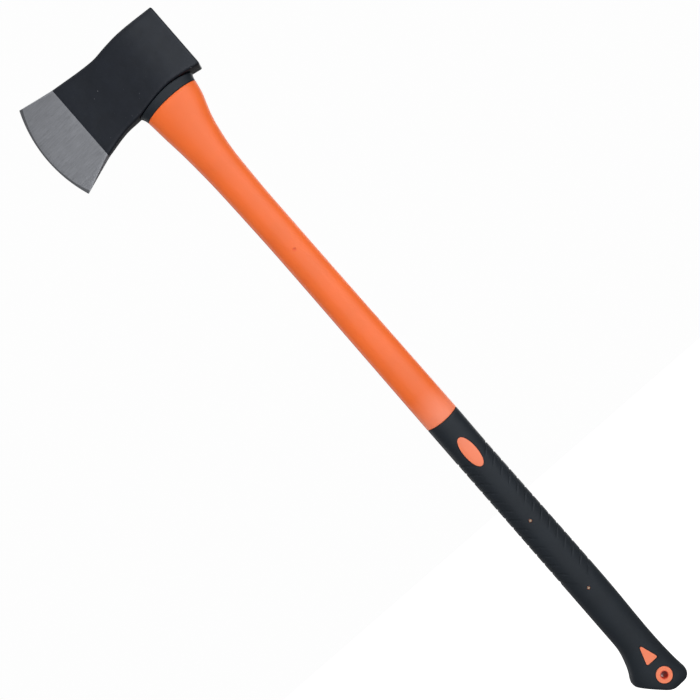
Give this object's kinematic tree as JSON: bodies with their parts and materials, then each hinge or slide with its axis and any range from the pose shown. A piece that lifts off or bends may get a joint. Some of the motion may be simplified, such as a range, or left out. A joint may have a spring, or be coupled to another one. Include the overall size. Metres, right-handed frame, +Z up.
{
  "type": "fire axe",
  "caption": "Single-bit fire axe with a painted forged head, ground bit, moulded composite handle, rubber grip and hang hole.",
  "frame": {"origin": "where the centre line of the handle meets the level of the poll's underside, the seat of a wall bracket", "axes": "+Z up the handle towards the head, +X towards the poll, -X towards the cutting edge, Y through the thickness with the symmetry plane at Y = 0"},
  "size_m": [0.19, 0.036, 0.921],
  "materials": {
    "head_steel": "forged steel with satin black paint, bit ground bare and brushed",
    "bonding_resin": "cast epoxy, matt",
    "glass_fibre": "pultruded glass fibre rod, sawn end",
    "jacket_polypropylene": "moulded polypropylene, satin",
    "black_rubber": "moulded thermoplastic rubber, finely textured"
  },
  "bodies": {
    "root": {"axe_head": "head_steel", "eye_bond": "bonding_resin", "handle_core": "glass_fibre", "handle_jacket": "jacket_polypropylene", "shoulder_collar": "black_rubber", "grip_sleeve": "black_rubber"}
  },
  "joints": []
}
